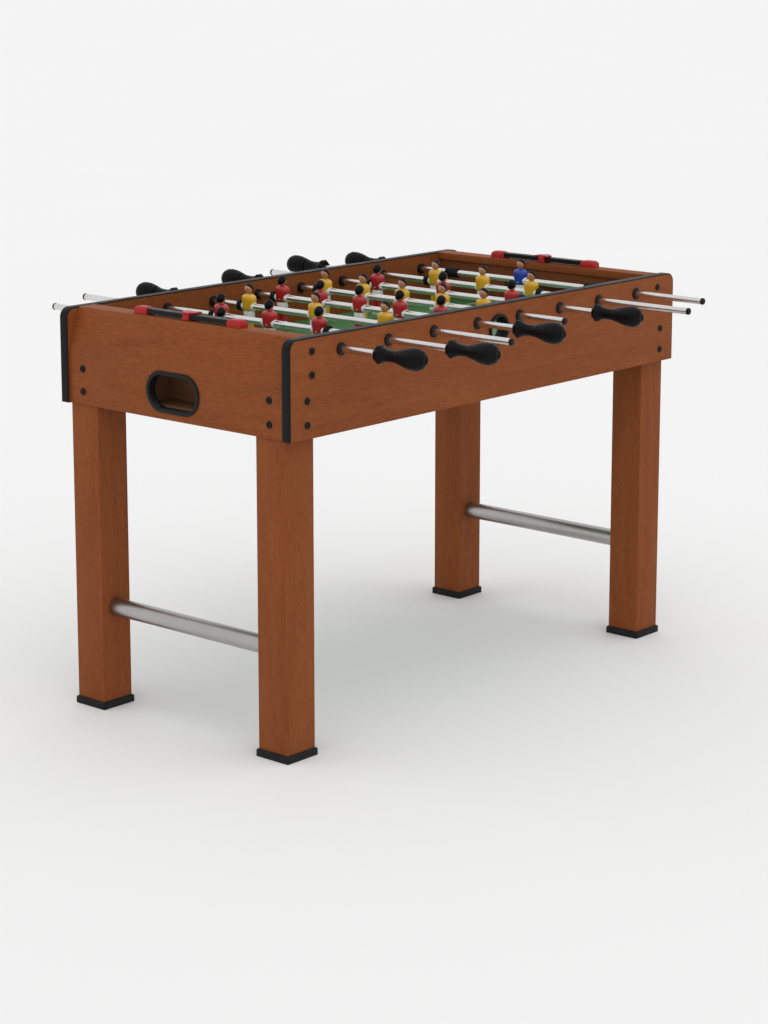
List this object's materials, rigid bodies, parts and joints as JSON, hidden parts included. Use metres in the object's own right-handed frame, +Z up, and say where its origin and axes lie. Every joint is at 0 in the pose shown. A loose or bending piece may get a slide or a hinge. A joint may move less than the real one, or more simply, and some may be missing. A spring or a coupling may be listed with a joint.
{
  "type": "foosball table",
  "caption": "Wooden foosball table with sliding, spinning steel rods carrying player figures, square legs, ball returns and score counters.",
  "frame": {"origin": "on the floor under the middle of the playfield, at the centre of the four feet", "axes": "+X along the length from the left goal to the right goal, +Y from the front side with the ball entry to the rear side, +Z up"},
  "size_m": [1.2, 1.14, 0.8165],
  "materials": {
    "cabinet_wood": "satin lacquered wood grain",
    "leg_wood": "satin lacquered wood grain",
    "inner_wood": "satin lacquered wood grain",
    "box_brown": "matt painted board",
    "black_trim": "satin black moulding",
    "field_green": "laminated green field with white lines",
    "foot_black": "matt black",
    "black_plastic": "satin black moulding",
    "fixing_black": "black cap heads",
    "bar_steel": "satin tube",
    "rod_steel": "polished",
    "grip_black": "satin black grip",
    "bumper_black": "matt black",
    "player_red": "glossy moulded and painted",
    "player_yellow": "glossy moulded and painted",
    "player_blue": "glossy moulded and painted",
    "score_red": "glossy"
  },
  "bodies": {
    "table": {"front_side_panel": "cabinet_wood", "front_edge_trim": "black_trim", "front_left_leg": "leg_wood", "front_right_leg": "leg_wood", "rear_side_panel": "cabinet_wood", "rear_edge_trim": "black_trim", "rear_left_leg": "leg_wood", "rear_right_leg": "leg_wood", "left_end_panel": "cabinet_wood", "left_goal_wall": "inner_wood", "left_leg_bar": "bar_steel", "right_end_panel": "cabinet_wood", "right_goal_wall": "inner_wood", "right_leg_bar": "bar_steel", "playfield": "field_green", "foot_pads": "foot_black", "ball_return_trims": "black_plastic", "ball_boxes": "box_brown", "ball_entry_cup": "black_plastic", "rod_bushings": "black_plastic", "panel_screws": "fixing_black", "leg_bolts": "fixing_black", "score_rails": "black_plastic", "score_end_blocks": "score_red"},
    "left_score_slider": {"left_score_slider": "score_red"},
    "right_score_slider": {"right_score_slider": "score_red"},
    "rod_1_stops": {"rod_1_stops": "bumper_black"},
    "rod_1": {"rod_1_tube": "rod_steel", "rod_1_players": "player_blue", "rod_1_grip": "grip_black"},
    "rod_2_stops": {"rod_2_stops": "bumper_black"},
    "rod_2": {"rod_2_tube": "rod_steel", "rod_2_players": "player_red", "rod_2_grip": "grip_black"},
    "rod_3_stops": {"rod_3_stops": "bumper_black"},
    "rod_3": {"rod_3_tube": "rod_steel", "rod_3_players": "player_yellow", "rod_3_grip": "grip_black"},
    "rod_4_stops": {"rod_4_stops": "bumper_black"},
    "rod_4": {"rod_4_tube": "rod_steel", "rod_4_players": "player_red", "rod_4_grip": "grip_black"},
    "rod_5_stops": {"rod_5_stops": "bumper_black"},
    "rod_5": {"rod_5_tube": "rod_steel", "rod_5_players": "player_yellow", "rod_5_grip": "grip_black"},
    "rod_6_stops": {"rod_6_stops": "bumper_black"},
    "rod_6": {"rod_6_tube": "rod_steel", "rod_6_players": "player_red", "rod_6_grip": "grip_black"},
    "rod_7_stops": {"rod_7_stops": "bumper_black"},
    "rod_7": {"rod_7_tube": "rod_steel", "rod_7_players": "player_yellow", "rod_7_grip": "grip_black"},
    "rod_8_stops": {"rod_8_stops": "bumper_black"},
    "rod_8": {"rod_8_tube": "rod_steel", "rod_8_players": "player_blue", "rod_8_grip": "grip_black"}
  },
  "joints": [
    {"name": "rod_1_slide", "type": "slide", "parent": "table", "child": "rod_1_stops", "axis": [0, 1, 0], "range_m": [-0.071, 0.071]},
    {"name": "rod_1_spin", "type": "hinge", "parent": "rod_1_stops", "child": "rod_1", "pos_m": [-0.46253, 0, 0.769], "axis": [0, 1, 0], "continuous": true},
    {"name": "rod_2_slide", "type": "slide", "parent": "table", "child": "rod_2_stops", "axis": [0, 1, 0], "range_m": [-0.1196, 0.1196]},
    {"name": "rod_2_spin", "type": "hinge", "parent": "rod_2_stops", "child": "rod_2", "pos_m": [-0.33037, 0, 0.769], "axis": [0, 1, 0], "continuous": true},
    {"name": "rod_3_slide", "type": "slide", "parent": "table", "child": "rod_3_stops", "axis": [0, 1, 0], "range_m": [-0.0676, 0.0676]},
    {"name": "rod_3_spin", "type": "hinge", "parent": "rod_3_stops", "child": "rod_3", "pos_m": [-0.19823, 0, 0.769], "axis": [0, 1, 0], "continuous": true},
    {"name": "rod_4_slide", "type": "slide", "parent": "table", "child": "rod_4_stops", "axis": [0, 1, 0], "range_m": [-0.0356, 0.0356]},
    {"name": "rod_4_spin", "type": "hinge", "parent": "rod_4_stops", "child": "rod_4", "pos_m": [-0.06608, 0, 0.769], "axis": [0, 1, 0], "continuous": true},
    {"name": "rod_5_slide", "type": "slide", "parent": "table", "child": "rod_5_stops", "axis": [0, 1, 0], "range_m": [-0.0356, 0.0356]},
    {"name": "rod_5_spin", "type": "hinge", "parent": "rod_5_stops", "child": "rod_5", "pos_m": [0.06608, 0, 0.769], "axis": [0, 1, 0], "continuous": true},
    {"name": "rod_6_slide", "type": "slide", "parent": "table", "child": "rod_6_stops", "axis": [0, 1, 0], "range_m": [-0.0676, 0.0676]},
    {"name": "rod_6_spin", "type": "hinge", "parent": "rod_6_stops", "child": "rod_6", "pos_m": [0.19823, 0, 0.769], "axis": [0, 1, 0], "continuous": true},
    {"name": "rod_7_slide", "type": "slide", "parent": "table", "child": "rod_7_stops", "axis": [0, 1, 0], "range_m": [-0.1196, 0.1196]},
    {"name": "rod_7_spin", "type": "hinge", "parent": "rod_7_stops", "child": "rod_7", "pos_m": [0.33037, 0, 0.769], "axis": [0, 1, 0], "continuous": true},
    {"name": "rod_8_slide", "type": "slide", "parent": "table", "child": "rod_8_stops", "axis": [0, 1, 0], "range_m": [-0.071, 0.071]},
    {"name": "rod_8_spin", "type": "hinge", "parent": "rod_8_stops", "child": "rod_8", "pos_m": [0.46253, 0, 0.769], "axis": [0, 1, 0], "continuous": true},
    {"name": "left_score_slide", "type": "slide", "parent": "table", "child": "left_score_slider", "axis": [0, 1, 0], "range_m": [-0.089, 0.089]},
    {"name": "right_score_slide", "type": "slide", "parent": "table", "child": "right_score_slider", "axis": [0, 1, 0], "range_m": [-0.089, 0.089]}
  ]
}
